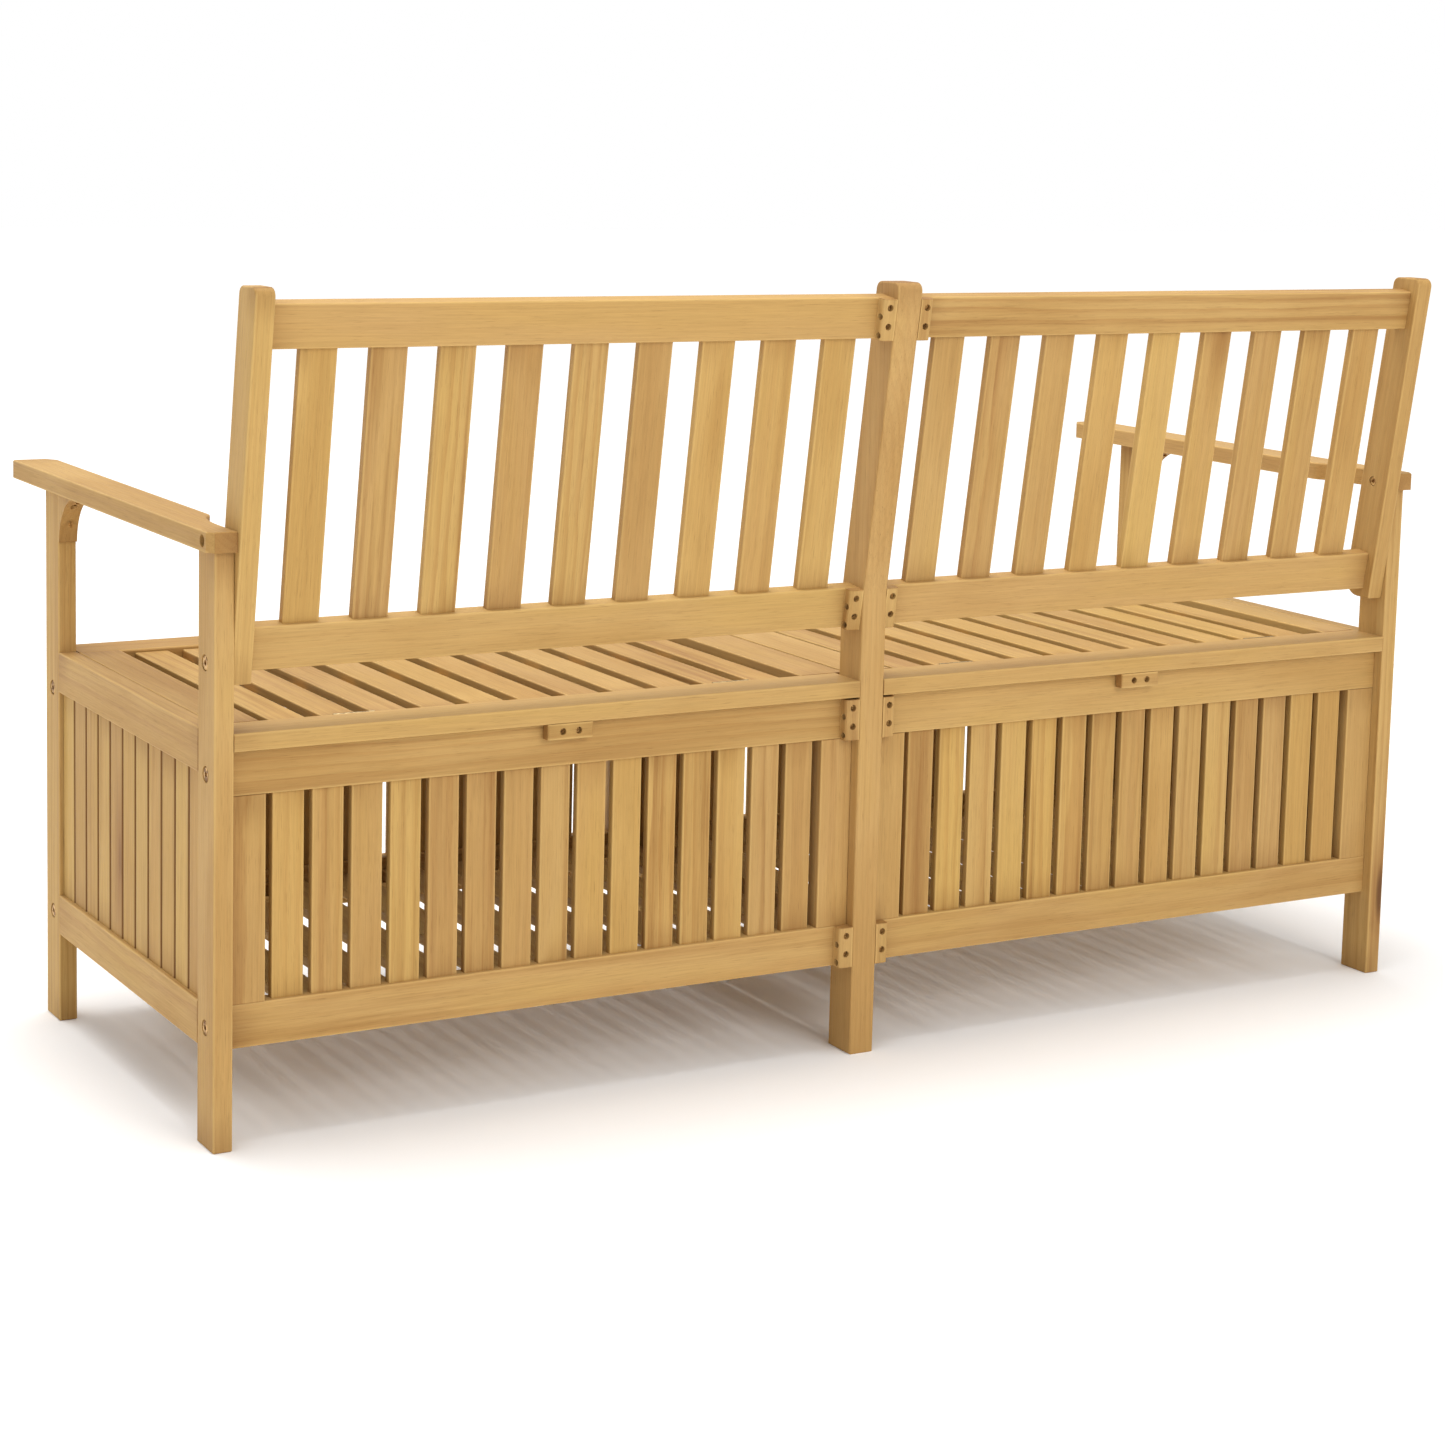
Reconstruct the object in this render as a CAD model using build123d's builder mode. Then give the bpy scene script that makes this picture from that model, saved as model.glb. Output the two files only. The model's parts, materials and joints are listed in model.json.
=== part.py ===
"""Slatted wooden storage bench with two hinged seat lids, as separate boards, blocks, hinges and fasteners.

Millimetres. +Z up, X along the bench, the front (sitting side) faces -Y, left is the sitter's left (+X).
"""
import math
import os

from build123d import *

os.makedirs("parts", exist_ok=True)

# Overall frame
leg_x = 741.0  # outer face of the corner legs
leg_t, leg_d = 20.0, 45.0  # corner leg section, X by Y
y_front, y_rear = -245.5, 277.5  # front face of the front legs, rear face of the rear legs
arm_z, arm_t = 588.0, 20.0  # underside and thickness of the armrests
arm_x0, arm_x1, arm_front, arm_rear = 703.0, 750.0, -334.0, 286.0
top_z = 840.0

# Posts and backrest
post_w, post_d = 30.0, 44.0  # centre post section
kink_z, slope = 505.0, 0.1552  # above kink_z the posts lean back by this much per mm
lean = math.degrees(math.atan(slope))
back_post_z0 = 458.0
rail_t, rail_h = 20.0, 44.0
back_recess = 11.7  # rear face of the backrest rails in front of the posts' rear faces
back_lower, back_top = (-37.0, 7.0), (279.0, 323.0)  # rail heights measured up the slope
back_slat_w, back_slat_n = 38.0, 9

# Panels
slat_t, tenon = 10.0, 6.0
panel_recess = 13.5
low_z, high_z = 98.0, 348.0  # undersides of the panels' bottom and top rails
stile_w, panel_slat_w, panel_slat_n = 38.0, 33.0, 15
end_slat_n, end_gap = 11, 2.4
end_top_z = 368.0

# Seat
seat_z, seat_t = 412.0, 18.0
seam_y, seam = 223.5, 2.0  # line where the lids meet the fixed rear rails
seat_x = (2.0, 720.0)
seat_rail, seat_stile_in, seat_stile_out = 54.0, 55.5, 45.0  # the inner stile is beside the bench's middle
seat_block_x = 361.0
lid_slat_t, lid_slat_w, lid_slat_n = 10.0, 38.0, 11
batten_w, batten_t = 36.0, 16.0
lid_gap_front = 1.0

# Floor
ledger, floor_t, floor_slat_w, floor_slat_n, floor_pitch = 18.0, 12.0, 45.0, 10, 71.6

# Hinges, with their axis just above the lid slats
hinge_x, hinge_len, leaf_t = (144.5, 575.5), 44.0, 0.9
knuckle_r, pin_r, pin_gap, axis_z = 2.0, 1.0, 0.05, 410.2
fixed_leaf_z, lid_leaf_z = 395.5, 385.5
hinge_screw_r, hinge_screw_len = 1.2, 13.0

# Fasteners
screw_r, head_r, head_h, screw_len = 1.6, 2.9, 2.2, 25.0
sink, sink_r = 4.0, 3.6  # depth of the screw heads and radius of their counterbores
bolt_r, nut_r, nut_h = 3.0, 5.0, 3.0
bolt_head_h, bolt_ring = 2.6, 0.7  # heads sit in counterbores this much wider
play = 0.1

soft = 1.5  # rounding of the boards' long edges
leg_in = leg_x - leg_t
post_in = leg_in - 20.0
half_post = post_w / 2
y_panel_rear = y_rear - panel_recess
y_panel_front = y_front + panel_recess
seat_u = seat_z - seat_t
lid_z = (seat_z - (seat_t - lid_slat_t) / 2 - lid_slat_t, seat_z - (seat_t - lid_slat_t) / 2)


def keep(name, build):
    """Labels one piece and writes its STEP file."""
    build.part.label = name
    export_step(build.part, f"parts/{name}.step")


def block(x, y, z, mode=Mode.ADD):
    """Box between two limits on each axis."""
    with Locations((sum(x) / 2, sum(y) / 2, sum(z) / 2)):
        Box(x[1] - x[0], y[1] - y[0], z[1] - z[0], mode=mode)


def ease(build, axis, radius=soft):
    """Rounds the edges that run along one axis."""
    fillet(build.edges().filter_by(axis), radius)


def ease_sides(build, radius=2.0):
    """Rounds the outline of the two faces at the ends of the X extent."""
    sides = build.faces().filter_by(Axis.X).sort_by(Axis.X)
    fillet(sides[0].edges() + sides[-1].edges(), radius)


def both_sides(x):
    """The same X limits on the left and on the right bay."""
    return (x, (-x[1], -x[0]))


def back_y(z):
    """Rear face of the leaning posts at a height."""
    return y_rear + slope * (z - kink_z)


slope_axis = Axis((0, 0, 0), (0, math.sin(math.radians(lean)), math.cos(math.radians(lean))))
back_frame = Location((0, y_rear - back_recess, kink_z), (-lean, 0, 0))
bay = (half_post, post_in)
back_gap = (bay[1] - bay[0] - back_slat_n * back_slat_w) / (back_slat_n + 1)
back_pitch = back_slat_w + back_gap
panel_x = (half_post, leg_in)
panel_gap = (panel_x[1] - panel_x[0] - 2 * stile_w - panel_slat_n * panel_slat_w) / (panel_slat_n + 1)
panel_pitch = panel_slat_w + panel_gap
panel_mid = (panel_x[0] + panel_x[1]) / 2
end_y = (y_front + leg_d, y_rear - leg_d)
end_pitch = (end_y[1] - end_y[0] + end_gap) / end_slat_n
seat_y = (y_front + seat_rail, seam_y + seam / 2)
lid_y = (seat_y[0] + lid_gap_front, seam_y - seam / 2)
lid_x = (seat_x[0] + seat_stile_in, seat_x[1] - seat_stile_out)
lid_gap = (lid_x[1] - lid_x[0] - lid_slat_n * lid_slat_w) / (lid_slat_n + 1)
lid_pitch = lid_slat_w + lid_gap
lid_mid = (lid_x[0] + lid_x[1]) / 2
lid_reach = (lid_slat_n * lid_pitch - lid_gap) / 2
batten_z = (lid_z[0] - batten_t, lid_z[0])

# Screws: every location looks along the screw, from the outer face of its block or board
block_t = 16.0
screw_spots = []
for side in (1, -1):
    for z0 in (low_z, high_z):
        for dz in (35.0, 15.0):
            screw_spots.append(Location((side * (half_post + 8), y_rear, z0 + dz), (90, 0, 0)))
        for dz in (25.0, 5.0):
            spot = (side * (half_post + block_t), (y_rear + y_panel_rear) / 2, z0 + dz)
            screw_spots.append(Location(spot, (0, -90 * side, 0)))
    for low, high in (back_lower, back_top):
        for dz in (35.0, 15.0):
            spot = (side * (half_post + 8), back_recess * math.cos(math.radians(lean)), low + dz)
            screw_spots.append(back_frame * Location(spot, (90, 0, 0)))
        for dz in (25.0, 5.0):
            spot = Location((side * (half_post + block_t), 5.8, low + dz), (0, -90 * side, 0))
            screw_spots.append(back_frame * spot)
    for dx in (9.0, -9.0):
        screw_spots.append(Location((side * seat_block_x + dx, y_rear, seat_u - 8), (90, 0, 0)))
    for dx in (19.0, -19.0):
        spot = (side * seat_block_x + dx, (y_rear + y_panel_rear) / 2, seat_u - block_t)
        screw_spots.append(Location(spot, (0, 0, 0)))

# Screws of the armrest braces
brace_y, brace_z, brace_screw_len = y_front + leg_d, arm_z - 55, 22.0
brace_screws = [Location((side * (leg_in + 10), y, z), turn) for side in (1, -1) for y, z, turn in
                ((brace_y + 23, arm_z - 13, (0, 0, 0)), (brace_y + 38, arm_z - 9, (0, 0, 0)),
                 (brace_y + 12, brace_z + 20, (90, 0, 0)))]

# Bolts from the outer side faces: place; the post bolts also have a length, head radius and head depth
rail_bolts = [(leg_x, y, z + rail_h / 2) for z in (low_z, high_z) for y in
              (y_panel_rear - rail_t / 2, y_panel_front + rail_t / 2)]
rail_bolt_len, wide_head = 58.0, 7.5
post_bolts = [((leg_x, back_y(478.0) - post_d / 2, 478.0), 40.0, wide_head, 0.4),
              ((arm_x1, 267.0, arm_z + arm_t / 2), arm_x1 - post_in, 5.4, 5.0)]


def bolt_spots(points):
    """Places on both sides of the bench that look inwards."""
    return [Location((side * p[0], p[1], p[2]), (0, -90 * side, 0)) for side in (1, -1) for p in points]


def drill_screws():
    """Clearance holes with a counterbore at every block screw."""
    with Locations(*screw_spots):
        Cylinder(screw_r + play, screw_len + 1, align=(Align.CENTER, Align.CENTER, Align.MIN), mode=Mode.SUBTRACT)
        Cylinder(sink_r, 2 * (sink + head_h + play), mode=Mode.SUBTRACT)


def drill_braces():
    """Pilot holes and counterbores for the screws of the armrest braces."""
    with Locations(*brace_screws):
        Cylinder(screw_r + play, brace_screw_len + 1, align=(Align.CENTER, Align.CENTER, Align.MIN),
                 mode=Mode.SUBTRACT)
        with Locations((0, 0, head_h)):
            Cylinder(head_r + 0.7, 30, align=(Align.CENTER, Align.CENTER, Align.MAX), mode=Mode.SUBTRACT)


def drill_bolts():
    """Clearance holes for the bolts, with counterbores for their heads and nuts."""
    with Locations(*bolt_spots(rail_bolts)):
        Cylinder(bolt_r + play, rail_bolt_len + 2, align=(Align.CENTER, Align.CENTER, Align.MIN), mode=Mode.SUBTRACT)
        Cylinder(wide_head + bolt_ring, 2 * (bolt_head_h + 0.5), mode=Mode.SUBTRACT)
    for point, length, head, depth in post_bolts:
        with Locations(*bolt_spots([point])):
            Cylinder(bolt_r + play, length, align=(Align.CENTER, Align.CENTER, Align.MIN), mode=Mode.SUBTRACT)
            Cylinder(head + bolt_ring, 2 * (depth + bolt_head_h + play), mode=Mode.SUBTRACT)
            with Locations((0, 0, length)):
                Cylinder(nut_r + bolt_ring, 2 * (nut_h + 1 + play), mode=Mode.SUBTRACT)


def bolt(length, head, depth):
    """Bolt with a wide, slightly domed head and a hexagon socket."""
    with Locations((0, 0, depth)):
        Cylinder(bolt_r, length - depth, align=(Align.CENTER, Align.CENTER, Align.MIN))
        Cone(head - 1.4, head, 0.8, align=(Align.CENTER, Align.CENTER, Align.MIN))
        with Locations((0, 0, 0.8)):
            Cylinder(head, bolt_head_h - 0.8, align=(Align.CENTER, Align.CENTER, Align.MIN))
        add(hexagon, mode=Mode.SUBTRACT)


# Corner legs
for name, side, y in (("rear_leg_left", 1, (y_rear - leg_d, y_rear)), ("rear_leg_right", -1, (y_rear - leg_d, y_rear)),
                      ("front_leg_left", 1, (y_front, y_front + leg_d)),
                      ("front_leg_right", -1, (y_front, y_front + leg_d))):
    with BuildPart() as leg:
        block(sorted((side * leg_in, side * leg_x)), y, (0, arm_z))
        ease(leg, Axis.Z, 2.0)
        chamfer(leg.faces().sort_by(Axis.Z)[0].edges(), 1.0)
        drill_bolts()
        drill_braces()
    keep(name, leg)

# Centre rear post, cut from one board: upright below, leaning back above the seat
with BuildPart() as centre_rear_post:
    with BuildSketch(Plane.YZ.offset(-half_post)) as outline:
        with BuildLine():
            Polyline((y_rear - post_d, 0), (y_rear, 0), (y_rear, kink_z), (back_y(top_z), top_z),
                     (back_y(top_z) - post_d - 0.5, top_z), (y_rear - post_d, kink_z - 3), close=True)
        make_face()
        fillet(outline.vertices().group_by(Axis.Y)[-1], 9.0)
    extrude(amount=post_w)
    ease_sides(centre_rear_post)
    drill_screws()
keep("centre_rear_post", centre_rear_post)

# Centre front leg
with BuildPart() as centre_front_leg:
    block((-half_post, half_post), (y_front, y_front + post_d), (0, seat_u))
    ease(centre_front_leg, Axis.Z, 2.0)
    chamfer(centre_front_leg.faces().sort_by(Axis.Z)[0].edges(), 1.0)
keep("centre_front_leg", centre_front_leg)

# Leaning end posts, bolted to the inner faces of the rear legs
for name, x in (("back_post_left", (post_in, leg_in)), ("back_post_right", (-leg_in, -post_in))):
    with BuildPart() as post:
        with BuildSketch(Plane.YZ.offset(x[0])) as outline:
            with BuildLine():
                Polyline((back_y(back_post_z0), back_post_z0), (back_y(top_z), top_z),
                         (back_y(top_z) - post_d - 0.5, top_z),
                         (back_y(back_post_z0) - post_d - 0.5, back_post_z0), close=True)
            make_face()
            fillet(outline.vertices().sort_by(Axis.X)[0], 20.0)
            fillet(outline.vertices().sort_by(Axis.Y)[0], 8.0)
            fillet(outline.vertices().group_by(Axis.Y)[-1], 9.0)
        extrude(amount=20)
        ease_sides(post)
        drill_bolts()
    keep(name, post)

# Armrests, narrowed where they pass the end posts
for name, side in (("armrest_left", 1), ("armrest_right", -1)):
    with BuildPart() as armrest:
        with BuildSketch(Plane.XY.offset(arm_z)):
            with BuildLine():
                rear = Polyline((leg_in, 236), (leg_in, arm_rear), (arm_x1 - 6, arm_rear), (arm_x1, arm_rear - 9),
                                (arm_x1, arm_front), (arm_x0 + 10, arm_front), (arm_x0, arm_front + 14), (arm_x0, 158))
                Spline(rear @ 1, (arm_x0 + 7, 174), (arm_x0 + 15, 200), rear @ 0, tangents=((0, 1), (0, 1)))
            make_face()
            if side < 0:
                mirror(about=Plane.YZ, mode=Mode.REPLACE)
        extrude(amount=arm_t)
        fillet(armrest.faces().sort_by(Axis.Z)[-1].edges(), 2.0)
        drill_bolts()
        with Locations(*brace_screws):
            Cylinder(screw_r + play, brace_screw_len + 1, align=(Align.CENTER, Align.CENTER, Align.MIN),
                     mode=Mode.SUBTRACT)
    keep(name, armrest)

# Curved braces between the front legs and the armrests
with BuildPart() as armrest_braces:
    for x in both_sides((leg_in, leg_x)):
        with BuildSketch(Plane.YZ.offset(x[0])):
            with BuildLine():
                foot = Polyline((brace_y + 3, brace_z), (brace_y, brace_z), (brace_y, arm_z), (brace_y + 50, arm_z),
                                (brace_y + 50, arm_z - 3))
                ThreePointArc(foot @ 1, (brace_y + 17, arm_z - 20), foot @ 0)
            make_face()
        extrude(amount=20)
    drill_braces()
keep("armrest_braces", armrest_braces)

# Backrest: rails in two bays, slats tenoned into them
for name, (low, high), inner in (("backrest_top_rails", back_top, back_top[0]),
                                 ("backrest_lower_rails", back_lower, back_lower[1])):
    with BuildPart() as rails:
        with Locations(back_frame):
            for x in both_sides(bay):
                block(x, (-rail_t, 0), (low, high))
        ease(rails, Axis.X, 2.0)
        with Locations(back_frame):
            for x in both_sides(bay):
                with Locations(((x[0] + x[1]) / 2, -11, inner)), GridLocations(back_pitch, 0, back_slat_n, 1):
                    Box(back_slat_w, slat_t, 2 * tenon, mode=Mode.SUBTRACT)
        drill_screws()
    keep(name, rails)
for name, x in zip(("backrest_slats_left", "backrest_slats_right"), both_sides(bay)):
    with BuildPart() as slats:
        with Locations(back_frame), Locations(((x[0] + x[1]) / 2, -11, (back_lower[1] + back_top[0]) / 2)):
            with GridLocations(back_pitch, 0, back_slat_n, 1):
                Box(back_slat_w, slat_t, back_top[0] - back_lower[1] + 2 * tenon)
        ease(slats, slope_axis)
    keep(name, slats)


def panel_rails(y, z, inner):
    """One rail per bay with pockets for the slats."""
    with BuildPart() as rails:
        for x in both_sides(panel_x):
            block(x, y, (z, z + rail_h))
        ease(rails, Axis.X)
        for x in both_sides(panel_x):
            with Locations(((x[0] + x[1]) / 2, (y[0] + y[1]) / 2, inner)):
                with GridLocations(panel_pitch, 0, panel_slat_n, 1):
                    Box(panel_slat_w, slat_t, 2 * tenon, mode=Mode.SUBTRACT)
        drill_screws()
        drill_bolts()
    return rails


# Rear and front panels
for name, y in (("rear", (y_panel_rear - rail_t, y_panel_rear)), ("front", (y_panel_front, y_panel_front + rail_t))):
    keep(f"{name}_panel_bottom_rails", panel_rails(y, low_z, low_z + rail_h))
    keep(f"{name}_panel_top_rails", panel_rails(y, high_z, high_z))
    with BuildPart() as stiles:
        for x in both_sides((half_post, half_post + stile_w)) + both_sides((leg_in - stile_w, leg_in)):
            block(x, y, (low_z + rail_h, high_z))
        ease(stiles, Axis.Z)
    keep(f"{name}_panel_stiles", stiles)
    for side, x in zip(("left", "right"), both_sides(panel_x)):
        with BuildPart() as slats:
            with Locations(((x[0] + x[1]) / 2, (y[0] + y[1]) / 2, (low_z + rail_h + high_z) / 2)):
                with GridLocations(panel_pitch, 0, panel_slat_n, 1):
                    Box(panel_slat_w, slat_t, high_z - low_z - rail_h + 2 * tenon)
            ease(slats, Axis.Z)
        keep(f"{name}_panel_slats_{side}", slats)

# End panels
for name, z, inner in (("end_panel_bottom_rails", low_z, low_z + rail_h), ("end_panel_top_rails", end_top_z, end_top_z)):
    with BuildPart() as rails:
        for x in both_sides((leg_in, leg_x)):
            block(x, end_y, (z, z + rail_h))
        ease(rails, Axis.Y)
        for x in both_sides((leg_in, leg_x)):
            with Locations(((x[0] + x[1]) / 2, (end_y[0] + end_y[1]) / 2, inner)):
                with GridLocations(0, end_pitch, 1, end_slat_n):
                    Box(slat_t, end_pitch - end_gap, 2 * tenon, mode=Mode.SUBTRACT)
    keep(name, rails)
for side, x in zip(("left", "right"), both_sides((leg_in, leg_x))):
    with BuildPart() as slats:
        with Locations(((x[0] + x[1]) / 2, (end_y[0] + end_y[1]) / 2, (low_z + rail_h + end_top_z) / 2)):
            with GridLocations(0, end_pitch, 1, end_slat_n):
                Box(slat_t, end_pitch - end_gap, end_top_z - low_z - rail_h + 2 * tenon)
        ease(slats, Axis.Z, 2.2)
    keep(f"end_panel_slats_{side}", slats)

# Centre cross rails; the upper one carries the inner ends of both lids
with BuildPart() as centre_cross_rails:
    block((-half_post, half_post), (y_front + post_d, y_rear - post_d), (low_z, low_z + rail_h))
    block((-half_post, half_post), (y_front + post_d, y_rear - post_d), (seat_u - rail_h, seat_u))
    ease(centre_cross_rails, Axis.Y)
keep("centre_cross_rails", centre_cross_rails)

# Floor of each compartment: slats from front to back on ledger strips
with BuildPart() as floor_ledgers:
    for x in both_sides(panel_x):
        block(x, (y_panel_rear - rail_t - ledger, y_panel_rear - rail_t), (low_z, low_z + ledger))
        block(x, (y_panel_front + rail_t, y_panel_front + rail_t + ledger), (low_z, low_z + ledger))
keep("floor_ledgers", floor_ledgers)
for side, x in zip(("left", "right"), both_sides(panel_x)):
    with BuildPart() as slats:
        with Locations(((x[0] + x[1]) / 2, (y_panel_front + y_panel_rear) / 2, low_z + ledger + floor_t / 2)):
            with GridLocations(floor_pitch, 0, floor_slat_n, 1):
                Box(floor_slat_w, y_panel_rear - y_panel_front - 2 * rail_t, floor_t)
        ease(slats, Axis.Y)
    keep(f"floor_slats_{side}", slats)

# Cleats on the end panels under the outer ends of the seat frame
with BuildPart() as seat_cleats:
    for x in both_sides((leg_in - ledger, leg_in)):
        block(x, (y_panel_front + rail_t, y_panel_rear - rail_t), (seat_u - 20, seat_u))
    ease(seat_cleats, Axis.Y)
keep("seat_cleats", seat_cleats)

# Ledges inside the front and rear panels that carry the lids' battens
with BuildPart() as lid_ledges:
    for x in both_sides((half_post, leg_in - ledger)):
        block(x, (y_panel_front + rail_t, y_panel_front + rail_t + 42), (batten_z[0] - 18, batten_z[0]))
        block(x, (y_panel_rear - rail_t - 42, y_panel_rear - rail_t), (batten_z[0] - 18, batten_z[0]))
    ease(lid_ledges, Axis.X)
keep("lid_ledges", lid_ledges)

knuckle_spots = [(side * x, seam_y, axis_z) for side in (1, -1) for x in hinge_x]
leaf_screws = [Location((x + dx, seam_y + seam / 2 * way, z), (-90 * way, 0, 0)) for x, _, _ in knuckle_spots
               for dx in (-14.0, 14.0) for z, way in ((fixed_leaf_z + 5.5, 1), (lid_leaf_z + 6.0, -1))]


def drill_leaf_screws(head=False):
    """Pilot holes of the hinge screws, countersunk in the leaves."""
    with Locations(*leaf_screws):
        with Locations((0, 0, -leaf_t)):
            Cylinder(hinge_screw_r + 0.05, hinge_screw_len + 1, align=(Align.CENTER, Align.CENTER, Align.MIN),
                     mode=Mode.SUBTRACT)
            if head:
                Cone(2.25, hinge_screw_r + 0.05, leaf_t, align=(Align.CENTER, Align.CENTER, Align.MIN),
                     mode=Mode.SUBTRACT)


# Seat frame: rear rails notched for the hinge knuckles, front rails and stiles
for side, x in zip(("left", "right"), both_sides((half_post, leg_in))):
    with BuildPart() as rail:
        block(x, (seat_y[1], y_rear), (seat_u, seat_z))
        ease(rail, Axis.X, 2.0)
        with Locations(*knuckle_spots):
            Box(hinge_len + 1, 2 * knuckle_r + 0.8, 2 * knuckle_r + 0.8, mode=Mode.SUBTRACT)
        drill_screws()
        drill_leaf_screws()
    keep(f"seat_rear_rail_{side}", rail)
for side, x, inner, outer in zip(("left", "right"), both_sides(seat_x), both_sides((seat_x[0], lid_x[0])),
                                 both_sides((lid_x[1], seat_x[1]))):
    with BuildPart() as rail:
        block(x, (y_front, seat_y[0]), (seat_u, seat_z))
        ease(rail, Axis.X, 3.0)
    keep(f"seat_front_rail_{side}", rail)
    with BuildPart() as stiles:
        block(inner, seat_y, (seat_u, seat_z))
        block(outer, seat_y, (seat_u, seat_z))
        ease(stiles, Axis.Y)
    keep(f"seat_stiles_{side}", stiles)

# Lids: slats on battens, set a little below the seat frame
for side, mid in (("left", lid_mid), ("right", -lid_mid)):
    with BuildPart() as slats:
        with Locations((mid, sum(lid_y) / 2, sum(lid_z) / 2)), GridLocations(lid_pitch, 0, lid_slat_n, 1):
            Box(lid_slat_w, lid_y[1] - lid_y[0], lid_slat_t)
        ease(slats, Axis.Y)
    keep(f"lid_{side}_slats", slats)
    with BuildPart() as battens:
        for y in (lid_y[1] - batten_w, sum(lid_y) / 2 - batten_w / 2, lid_y[0] + 0.5):
            block((mid - lid_reach, mid + lid_reach), (y, y + batten_w), batten_z)
        ease(battens, Axis.X)
        drill_leaf_screws()
    keep(f"lid_{side}_battens", battens)


def hinge(way, leaf_z, knuckles, clear, spots):
    """Leaves on one side of the seam with their share of the knuckles, bored for the pin."""
    leaf_h = axis_z - leaf_z
    with BuildPart() as leaves:
        with Locations(*spots):
            with Locations((0, way * (seam - leaf_t) / 2, -leaf_h / 2)):
                Box(hinge_len, leaf_t, leaf_h)
            with Locations(*[(middle, 0, 0) for middle, _ in clear]):
                Cylinder(knuckle_r + 0.3, clear[0][1] + 0.8, rotation=(0, 90, 0), mode=Mode.SUBTRACT)
            with Locations(*[(middle, 0, 0) for middle, _ in knuckles]):
                Cylinder(knuckle_r, knuckles[0][1], rotation=(0, 90, 0))
            Cylinder(pin_r + pin_gap, hinge_len + 2, rotation=(0, 90, 0), mode=Mode.SUBTRACT)
        drill_leaf_screws(head=True)
    return leaves


fixed_knuckles, lid_knuckles = [(-17.0, 10.0), (17.0, 10.0)], [(0.0, 23.2)]
keep("hinge_fixed_leaves", hinge(1, fixed_leaf_z, fixed_knuckles, lid_knuckles, knuckle_spots))
keep("hinge_lid_leaves_left", hinge(-1, lid_leaf_z, lid_knuckles, fixed_knuckles, knuckle_spots[:2]))
keep("hinge_lid_leaves_right", hinge(-1, lid_leaf_z, lid_knuckles, fixed_knuckles, knuckle_spots[2:]))
with BuildPart() as hinge_pins:
    with Locations(*knuckle_spots):
        Cylinder(pin_r, hinge_len, rotation=(0, 90, 0))
keep("hinge_pins", hinge_pins)
for name, spots in (("hinge_screws_frame", leaf_screws[0::2]), ("hinge_screws_lid_left", leaf_screws[1:8:2]),
                    ("hinge_screws_lid_right", leaf_screws[9::2])):
    with BuildPart() as screws:
        with Locations(*spots):
            with Locations((0, 0, -leaf_t)):
                Cylinder(hinge_screw_r, hinge_screw_len, align=(Align.CENTER, Align.CENTER, Align.MIN))
                Cone(2.2, hinge_screw_r, leaf_t, align=(Align.CENTER, Align.CENTER, Align.MIN))
    keep(name, screws)

# Corner blocks beside the centre post and the short blocks under the seat rails
with BuildPart() as corner_blocks:
    for x in both_sides((half_post, half_post + block_t)):
        for z in (low_z, high_z):
            block(x, (y_panel_rear, y_rear), (z, z + rail_h))
    outer = [e for e in corner_blocks.edges().filter_by(Axis.Z)
             if abs(e.center().X) > half_post + 1 and e.center().Y > y_rear - 1]
    fillet(outer, 5.0)
    with Locations(back_frame):
        for x in both_sides((half_post, half_post + block_t)):
            for low, high in (back_lower, back_top):
                block(x, (0, back_recess - 0.3), (low, high))
    outer = [e for e in corner_blocks.edges().filter_by(slope_axis)
             if abs(e.center().X) > half_post + 1 and e.center().Y > back_y(e.center().Z) - 3]
    fillet(outer, 5.0)
    drill_screws()
keep("corner_blocks", corner_blocks)
with BuildPart() as seat_blocks:
    for x in both_sides((seat_block_x - 26, seat_block_x + 26)):
        block(x, (y_panel_rear, y_rear), (seat_u - block_t, seat_u))
    ease(seat_blocks, Axis.Z, 3.0)
    drill_screws()
keep("seat_blocks", seat_blocks)

# Screws and bolts
hexagon = extrude(RegularPolygon(2.9, 6), 1.8)
with BuildPart() as block_screws:
    for spot in screw_spots:
        with Locations(spot):
            with Locations((0, 0, sink)):
                Cylinder(screw_r, screw_len - sink, align=(Align.CENTER, Align.CENTER, Align.MIN))
                Cone(head_r, screw_r, head_h, align=(Align.CENTER, Align.CENTER, Align.MIN))
                Box(3.6, 0.8, 2.4, mode=Mode.SUBTRACT)
                Box(0.8, 3.6, 2.4, mode=Mode.SUBTRACT)
keep("block_screws", block_screws)
with BuildPart() as brace_screw_set:
    with Locations(*brace_screws):
        Cylinder(screw_r, brace_screw_len, align=(Align.CENTER, Align.CENTER, Align.MIN))
        Cone(head_r, screw_r, head_h, align=(Align.CENTER, Align.CENTER, Align.MIN))
        Box(3.6, 0.8, 2.4, mode=Mode.SUBTRACT)
        Box(0.8, 3.6, 2.4, mode=Mode.SUBTRACT)
keep("brace_screws", brace_screw_set)
with BuildPart() as rail_bolt_set:
    with Locations(*bolt_spots(rail_bolts)):
        bolt(rail_bolt_len, wide_head, 0.4)
keep("rail_bolts", rail_bolt_set)
with BuildPart() as post_bolt_set:
    for point, length, head, depth in post_bolts:
        with Locations(*bolt_spots([point])):
            bolt(length - 1, head, depth)
            with Locations((0, 0, length - 1)):
                Cylinder(nut_r, nut_h, align=(Align.CENTER, Align.CENTER, Align.MAX))
                Cylinder(2.0, 3, mode=Mode.SUBTRACT)
keep("post_bolts", post_bolt_set)
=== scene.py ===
import json
import math
import zlib

import bpy
import numpy as np
from mathutils import Matrix, Vector

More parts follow.
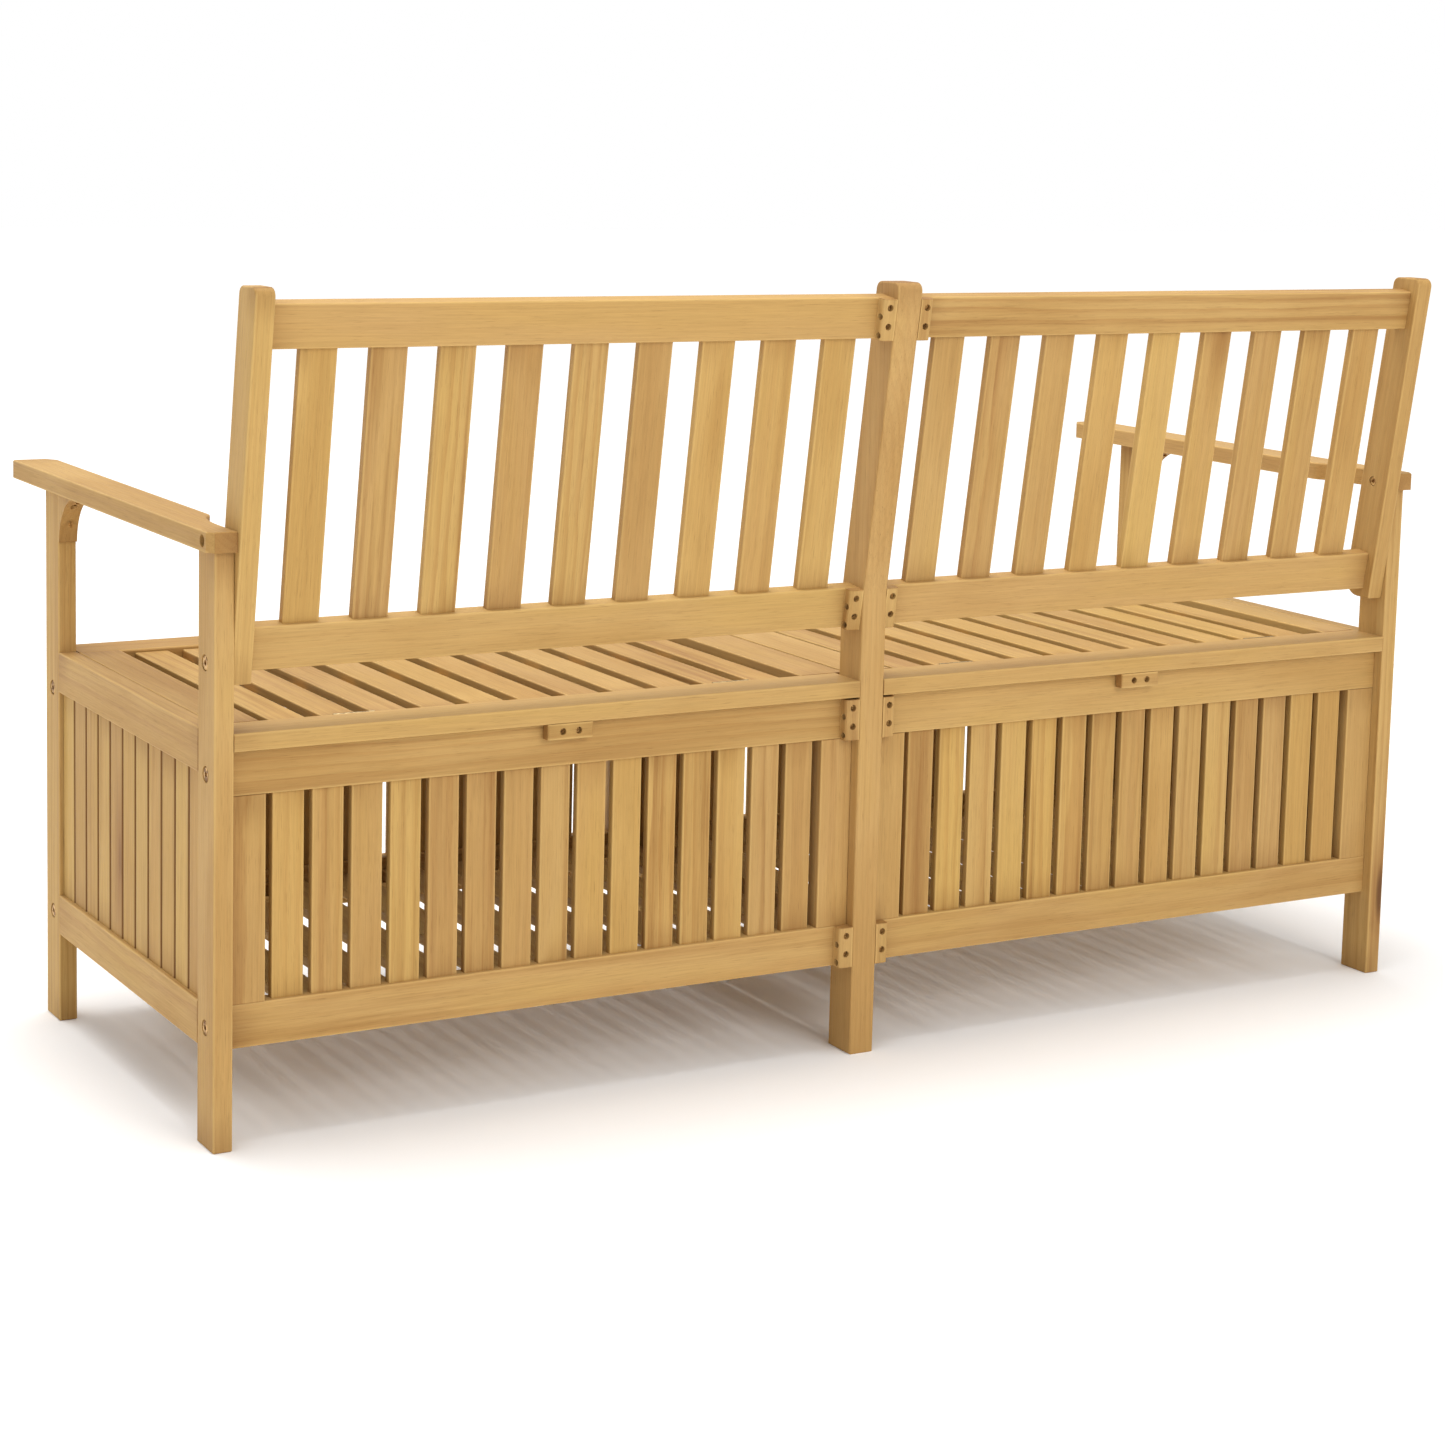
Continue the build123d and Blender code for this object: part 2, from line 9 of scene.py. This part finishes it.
LEAN = math.radians(8.82)  # how far the back leans
BOX_TIE = 0.999  # a leaning box has to be smaller than this part of the upright one to be taken
SEED_SPREAD = 17.0  # how far apart in the wood texture two boards can be cut
KNOT_RARITY = 0.88  # share of the possible knots that are left out
FLOOR_SIZE = 40.0  # metres
GLOW_FROM, GLOW_TO = 1.4, 6.0  # metres from the bench where the floor's glow begins and is full
GLOW = 0.32  # strength of the full glow
BENCH_MIDDLE = (0.0, 0.0, 0.4)  # what the lamps aim at, metres
WHITE = (1.0, 1.0, 1.0)
LAMPS = {  # place and diameter in metres, power in watts, colour
    "key": ((-0.4, 5.6, 3.2), 3.0, 112, (1.0, 0.985, 0.96)),
    "fill": ((2.0, -5.0, 3.0), 3.0, 45, WHITE),
    "top": ((0.4, -0.4, 4.5), 3.5, 150, WHITE),
}
SKY_LIGHT = 0.76  # how strongly the surroundings light the bench
SKY_SEEN = 1.0  # how bright the camera sees them
CAMERA = {"at": (1.7350, 2.9477, 1.0085), "azimuth": 149.96, "elevation": 7.28, "roll": 1.42,
          "focal": 3018.1, "principal_y": 500.0, "image": 1445.0, "sensor": 36.0}

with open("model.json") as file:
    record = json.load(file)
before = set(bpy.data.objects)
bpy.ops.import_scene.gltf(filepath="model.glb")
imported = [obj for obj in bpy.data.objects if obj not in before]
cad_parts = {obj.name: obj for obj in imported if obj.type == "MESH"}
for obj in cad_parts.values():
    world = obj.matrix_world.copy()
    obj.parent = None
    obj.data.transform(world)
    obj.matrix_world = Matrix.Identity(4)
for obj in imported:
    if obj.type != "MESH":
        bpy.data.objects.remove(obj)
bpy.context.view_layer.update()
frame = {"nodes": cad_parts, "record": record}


def srgb(r, g, b):
    """Linear colour of an 8-bit display colour."""
    return tuple(((c / 255 + 0.055) / 1.055) ** 2.4 for c in (r, g, b)) + (1.0,)


def grey(value):
    """Linear grey."""
    return (value, value, value, 1.0)


# Board coordinates: every board gets its own grain direction, size and random seed

def boards(mesh):
    """Labels the separate solids of a mesh; returns vertex positions and a label for each vertex."""
    points = np.empty(len(mesh.vertices) * 3)
    mesh.vertices.foreach_get("co", points)
    points = points.reshape(-1, 3)
    _, merged = np.unique(np.round(points, 5), axis=0, return_inverse=True)
    merged = merged.ravel()
    ends = np.empty(len(mesh.edges) * 2, int)
    mesh.edges.foreach_get("vertices", ends)
    a, b = merged[ends.reshape(-1, 2)].T
    label = np.arange(merged.max() + 1)
    while True:
        low = np.minimum(label[a], label[b])
        new = label.copy()
        np.minimum.at(new, a, low)
        np.minimum.at(new, b, low)
        new = new[new]
        if (new == label).all():
            return points, label[merged]
        label = new


def board_frame(points):
    """The tighter of the upright and the leaning box: centre, axes (longest first) and half sizes."""
    best = None
    for angle in (0.0, LEAN):
        axes = np.array(Matrix.Rotation(-angle, 3, "X")).T
        local = points @ axes.T
        low, high = local.min(0), local.max(0)
        size = high - low
        if best is None or np.prod(size) < best[0] * BOX_TIE:
            order = np.argsort(-size)
            best = (np.prod(size), ((low + high) / 2) @ axes, axes[order], size[order] / 2)
    return best[1:]


def add_board_attributes(obj):
    """Writes each vertex's place in its board, the board's half size, its seed, and a flag for the
    end-panel boards whose long edges get painted shade in the grooves.
    """
    mesh = obj.data
    points, label = boards(mesh)
    place, half, seed = (np.zeros_like(points) for _ in range(3))
    groups = sorted((tuple(np.round(points[label == k].mean(0), 3)), k) for k in np.unique(label))
    draw = np.random.default_rng(zlib.crc32(obj.name.encode()))
    for _, k in groups:
        mine = label == k
        centre, axes, size = board_frame(points[mine])
        place[mine] = (points[mine] - centre) @ axes.T
        half[mine] = size
        seed[mine] = draw.random(3)
    # The first value marks end-panel boards, whose long edges get painted shade in the grooves.
    edge = np.tile((float("end_panel_slats" in obj.name), 0.0, 0.0), (len(points), 1))
    for name, values in (("board", place), ("half", half), ("seed", seed), ("edge", edge)):
        layer = mesh.attributes.new(name, "FLOAT_VECTOR", "POINT")
        layer.data.foreach_set("vector", values.astype(np.float32).ravel())


# Materials

class Graph:
    """A short way to write a material's nodes."""

    def __init__(self, name):
        self.material = bpy.data.materials.new(name)
        self.material.use_nodes = True
        self.tree = self.material.node_tree
        self.tree.nodes.clear()

    def put(self, kind, settings, inputs):
        node = self.tree.nodes.new("ShaderNode" + kind)
        for key, value in settings.items():
            setattr(node, key, value)
        for key, value in inputs.items():
            if isinstance(value, bpy.types.NodeSocket):
                self.tree.links.new(value, node.inputs[key])
            else:
                node.inputs[key].default_value = value
        return node

    def attribute(self, name):
        return self.put("Attribute", {"attribute_name": name}, {}).outputs["Vector"]

    def place(self, scale):
        """Coordinates on the object, scaled alike in all directions."""
        where = self.put("TexCoord", {}, {}).outputs["Object"]
        return self.vector("MULTIPLY", where, (scale, scale, scale))

    def split(self, vector):
        return self.put("SeparateXYZ", {}, {0: vector}).outputs[:3]

    def math(self, operation, *values):
        return self.put("Math", {"operation": operation}, dict(enumerate(values))).outputs[0]

    def plus(self, a, b):
        return self.math("ADD", a, b)

    def minus(self, a, b):
        return self.math("SUBTRACT", a, b)

    def times(self, a, b):
        return self.math("MULTIPLY", a, b)

    def line(self, value, slope, start):
        """A straight-line function of a value."""
        return self.math("MULTIPLY_ADD", value, slope, start)

    def vector(self, operation, a, b):
        return self.put("VectorMath", {"operation": operation}, {0: a, 1: b}).outputs[0]

    def noise(self, vector, detail, roughness=0.55):
        inputs = {"Vector": vector, "Scale": 1.0, "Detail": detail, "Roughness": roughness}
        return self.put("TexNoise", {}, inputs).outputs[0]

    def ease(self, value, low, high, start=0.0, end=1.0):
        """Goes smoothly from start to end while the value goes from low to high."""
        inputs = {0: value, 1: low, 2: high, 3: start, 4: end}
        return self.put("MapRange", {"interpolation_type": "SMOOTHSTEP"}, inputs).outputs[0]

    def mix(self, amount, a, b, blend="MIX"):
        node = self.put("Mix", {"data_type": "RGBA", "blend_type": blend}, {0: amount, 6: a, 7: b})
        return node.outputs[2]

    def ramp(self, value, stops):
        node = self.put("ValToRGB", {}, {0: value})
        ramp = node.color_ramp
        while len(ramp.elements) < len(stops):
            ramp.elements.new(0.5)
        for element, (place, colour) in zip(ramp.elements, stops):
            element.position, element.color = place, colour
        return node.outputs[0]

    def bump(self, height, strength, depth):
        return self.put("Bump", {}, {"Strength": strength, "Distance": depth, "Height": height}).outputs[0]

    def finish(self, settings):
        shader = self.put("BsdfPrincipled", {}, settings)
        self.put("OutputMaterial", {}, {"Surface": shader.outputs[0]})
        return self.material


class Wood(Graph):
    """Nodes that read the board attributes. The x axis runs along the fibres of the board."""

    def __init__(self, name):
        super().__init__(name)
        self.board, self.half, self.seed = (self.attribute(key) for key in ("board", "half", "seed"))
        # Flag for end-panel boards: their long edges get painted shade in the grooves instead of a painted
        # highlight.
        self.gets_painted_groove_shade = self.split(self.attribute("edge"))[0]
        inputs = {0: self.seed, "Scale": SEED_SPREAD}
        self.shift = self.put("VectorMath", {"operation": "SCALE"}, inputs).outputs[0]

    def grain(self, along, across):
        """Texture coordinates of this board, scaled along and across the fibres."""
        return self.vector("ADD", self.vector("MULTIPLY", self.board, (along, across, across)), self.shift)

    def wave(self, along, across, detail, height):
        """Noise that swings evenly to both sides of zero."""
        return self.times(self.minus(self.noise(self.grain(along, across), detail), 0.5), height)

    def late_wood(self):
        """Dark part of the rings round a pith line that lies beside the board and drifts along it."""
        _, py, pz = self.split(self.board)
        sx, sy, sz = self.split(self.seed)
        drift = self.wave(2.2, 14.0, 2.0, 0.030)
        wander = self.wave(7.0, 60.0, 3.0, 0.004)
        dy = self.plus(self.minus(py, self.line(sx, 0.10, -0.05)), drift)
        dz = self.minus(pz, self.line(sy, 0.07, 0.012))
        reach = self.math("SQRT", self.plus(self.times(dy, dy), self.times(dz, dz)))
        rings_per_metre = self.line(sz, 70.0, 120.0)
        ring = self.math("FRACT", self.times(self.plus(reach, wander), rings_per_metre))
        return self.times(self.ease(ring, 0.35, 0.93), self.ease(ring, 0.93, 1.0, 1.0, 0.0))

    def knots(self):
        """Small knots on a few boards, and the darker wood round them."""
        inputs = {"Vector": self.grain(2.6, 13.0), "Scale": 1.0, "Randomness": 1.0}
        spots = self.put("TexVoronoi", {"feature": "F1"}, inputs)
        distance = spots.outputs["Distance"]
        rare = self.math("GREATER_THAN", self.split(spots.outputs["Color"])[0], KNOT_RARITY)
        knot = self.times(self.ease(distance, 0.035, 0.12, 1.0, 0.0), rare)
        halo = self.times(self.ease(distance, 0.05, 0.32, 1.0, 0.0), rare)
        return knot, halo

    def edges(self, streak, cloud):
        """Painted highlights on the long edges, painted shade in the grooves beside end-panel boards, end
        grain, and oil soaked in near the ends.
        """
        sides = zip(self.split(self.half), self.split(self.board))
        end, edge_y, edge_z = (self.minus(half, self.math("ABSOLUTE", place)) for half, place in sides)
        ragged = self.plus(self.math("MAXIMUM", edge_y, edge_z), self.times(streak, 0.0016))
        # Painted highlight: the long edges of the other boards are painted lighter where their rounded
        # edges catch the light, with a ragged border.
        painted_edge_highlight = self.times(self.ease(ragged, 0.0006, 0.0036, 1.0, 0.0), self.minus(1.0, self.gets_painted_groove_shade))
        # Painted shade: the long edges of end-panel boards are painted dark brown where the grooves
        # between them lie in shade.
        painted_groove_shade = self.times(self.ease(edge_y, 0.0004, 0.0026, 1.0, 0.0), self.gets_painted_groove_shade)
        end_grain = self.ease(end, 0.0001, 0.0009, 1.0, 0.0)
        soak = self.times(self.ease(end, 0.0, 0.045, 1.0, 0.0), self.ease(cloud, 0.42, 0.62))
        return painted_edge_highlight, painted_groove_shade, end_grain, soak


def wood(name, tones, contrast, streaks):
    """Oiled light hardwood cut from one solid texture: rings, fibres, pores and knots, with painted
    highlights on the long edges and painted shade in the end-panel grooves.
    """
    g = Wood(name)
    sx, sy, sz = g.split(g.seed)
    late = g.late_wood()
    streak = g.noise(g.grain(1.6, 75.0), 4.0, 0.6)
    cloud = g.noise(g.grain(3.0, 12.0), 2.0)
    fibre = g.noise(g.grain(14.0, 620.0), 4.0, 0.7)
    pores = g.ease(g.noise(g.grain(38.0, 1500.0), 2.0, 0.6), 0.60, 0.72)
    knot, halo = g.knots()
    painted_edge_highlight, painted_groove_shade, end_grain, soak = g.edges(streak, cloud)

    cast = g.ramp(g.plus(cloud, g.line(sx, 0.3, -0.15)),
                  ((0.34, srgb(232, 222, 204)), (0.50, srgb(255, 255, 255)), (0.68, srgb(255, 255, 236))))
    vein = g.ramp(streak, ((0.32, srgb(176, 136, 96)), (0.50, grey(1.0))))
    fibre_shade = g.ramp(fibre, ((0.30, grey(0.74)), (0.62, grey(1.0))))
    figure = g.line(g.times(sy, sy), 1.5, 0.35)  # how lively the grain of this board is
    layers = (
        (0.55, cast, "MULTIPLY"),
        (g.times(g.times(late, figure), contrast), srgb(196, 152, 106), "MULTIPLY"),
        (g.times(figure, streaks), vein, "MULTIPLY"),
        (0.5, fibre_shade, "MULTIPLY"),
        (g.times(pores, 0.30), srgb(120, 84, 52), "MULTIPLY"),
        (g.times(halo, 0.45), srgb(170, 118, 72), "MULTIPLY"),
        (g.times(knot, 0.8), srgb(92, 58, 34), "MIX"),
        (g.times(soak, 0.32), srgb(160, 122, 92), "MULTIPLY"),
        (g.times(end_grain, 0.35), srgb(176, 132, 92), "MULTIPLY"),
        # Painted highlight on the long edges.
        (g.times(painted_edge_highlight, 0.28), srgb(238, 202, 132), "MIX"),
        # Painted shade in the grooves beside end-panel boards.
        (g.times(painted_groove_shade, 0.85), srgb(110, 70, 38), "MIX"),
    )
    colour = g.ramp(sz, tones)
    for amount, tone, blend in layers:
        colour = g.mix(amount, colour, tone, blend)

    gloss = g.ramp(g.plus(fibre, g.times(late, 0.2)), ((0.3, grey(0.62)), (0.8, grey(0.50))))
    height = g.plus(g.times(fibre, 0.7), g.times(late, 0.35))
    height = g.minus(height, g.times(pores, 0.6))
    height = g.minus(height, g.times(knot, 0.5))
    return g.finish({"Base Color": colour, "Roughness": gloss, "Normal": g.bump(height, 0.35, 0.0004),
                     "IOR": 1.45, "Specular IOR Level": 0.16})


def metal(name, bright, dull, roughness):
    """Plated steel that has dulled unevenly."""
    g = Graph(name)
    blotch = g.noise(g.place(180), 4.0, 0.6)
    grit = g.noise(g.place(1500), 2.0)
    colour = g.mix(g.ease(blotch, 0.35, 0.65), bright, dull)
    gloss = g.ramp(blotch, ((0.3, grey(roughness)), (0.7, grey(roughness + 0.2))))
    return g.finish({"Base Color": colour, "Roughness": gloss, "Metallic": 1.0,
                     "Normal": g.bump(grit, 0.25, 0.0001)})


def floor_material():
    """A pale matt floor. Far away it glows a little, so that it ends as light as the background."""
    g = Graph("floor")
    colour = g.ramp(g.noise(g.place(1.5), 2.0), ((0.3, grey(0.95)), (0.7, grey(0.97))))
    distance = g.put("VectorMath", {"operation": "LENGTH"}, {0: g.place(1.0)}).outputs["Value"]
    glow = g.ease(distance, GLOW_FROM, GLOW_TO, 0.0, GLOW)
    return g.finish({"Base Color": colour, "Roughness": 0.9, "Specular IOR Level": 0.1,
                     "Emission Color": grey(1.0), "Emission Strength": glow})


FRAME_TONES = ((0.0, srgb(186, 148, 91)), (0.35, srgb(191, 154, 95)), (0.7, srgb(195, 158, 99)),
               (1.0, srgb(189, 150, 94)))
SLAT_TONES = ((0.0, srgb(184, 146, 90)), (0.25, srgb(193, 154, 92)), (0.5, srgb(199, 162, 97)),
              (0.75, srgb(190, 153, 96)), (1.0, srgb(184, 145, 88)))
materials = {
    "frame_wood": wood("wood_boards", FRAME_TONES, 0.14, 0.20),
    "slat_wood": wood("wood_slats", SLAT_TONES, 0.16, 0.26),
    "hinge_metal": metal("plated_hinge", srgb(196, 176, 132), srgb(140, 120, 88), 0.32),
    "fastener_metal": metal("plated_screw", srgb(204, 164, 104), srgb(122, 86, 50), 0.38),
}
slot_of = {part["node"]: part["material_slot"] for part in frame["record"]["subparts"]}
for node_name, obj in frame["nodes"].items():
    slot_name = slot_of[node_name]
    if slot_name.endswith("_wood"):
        add_board_attributes(obj)
    for material_slot in obj.material_slots:
        material_slot.material = materials[slot_name]


# Floor, light and camera

def stage_floor():
    """The floor that the bench stands on."""
    bpy.ops.mesh.primitive_plane_add(size=FLOOR_SIZE)
    floor = bpy.context.object
    floor.name = "floor"
    floor.data.materials.append(floor_material())


def area_light(name, at, diameter, power, colour):
    """A round soft lamp aimed at the middle of the bench."""
    data = bpy.data.lights.new(name, "AREA")
    data.shape, data.size, data.energy, data.color = "DISK", diameter, power, colour
    lamp = bpy.data.objects.new(name, data)
    bpy.context.collection.objects.link(lamp)
    lamp.location = at
    lamp.rotation_euler = (Vector(BENCH_MIDDLE) - Vector(at)).to_track_quat("-Z", "Y").to_euler()


def white_surroundings():
    """White all round. It lights the bench less strongly than the camera sees it."""
    world = bpy.data.worlds.new("studio")
    world.use_nodes = True
    nodes, links = world.node_tree.nodes, world.node_tree.links
    sky = nodes["Background"]
    sky.inputs["Color"].default_value = grey(1.0)
    path = nodes.new("ShaderNodeLightPath")
    level = nodes.new("ShaderNodeMapRange")
    level.inputs["To Min"].default_value = SKY_LIGHT
    level.inputs["To Max"].default_value = SKY_SEEN
    links.new(path.outputs["Is Camera Ray"], level.inputs["Value"])
    links.new(level.outputs["Result"], sky.inputs["Strength"])
    return world


def make_camera(at, azimuth, elevation, roll, focal, principal_y, image, sensor):
    """Camera from its place, direction, focal length in pixels and the image row it looks at."""
    a, e, r = (math.radians(v) for v in (azimuth, elevation, roll))
    ahead = -Vector((math.sin(a) * math.cos(e), -math.cos(a) * math.cos(e), math.sin(e)))
    right = ahead.cross(Vector((0, 0, 1))).normalized()
    up = right.cross(ahead)
    turned_right = right * math.cos(r) + up * math.sin(r)
    turned_up = up * math.cos(r) - right * math.sin(r)
    data = bpy.data.cameras.new("camera")
    data.sensor_width = sensor
    data.lens = focal * sensor / image
    data.shift_y = (principal_y - image / 2) / image
    camera = bpy.data.objects.new("camera", data)
    bpy.context.collection.objects.link(camera)
    turn = Matrix((turned_right, turned_up, -ahead)).transposed()
    camera.matrix_world = Matrix.Translation(Vector(at)) @ turn.to_4x4()
    return camera


stage_floor()
for lamp_name, lamp_values in LAMPS.items():
    area_light(lamp_name, *lamp_values)
scene = bpy.context.scene
scene.world = white_surroundings()
scene.view_settings.view_transform = "Standard"
scene.camera = make_camera(**CAMERA)
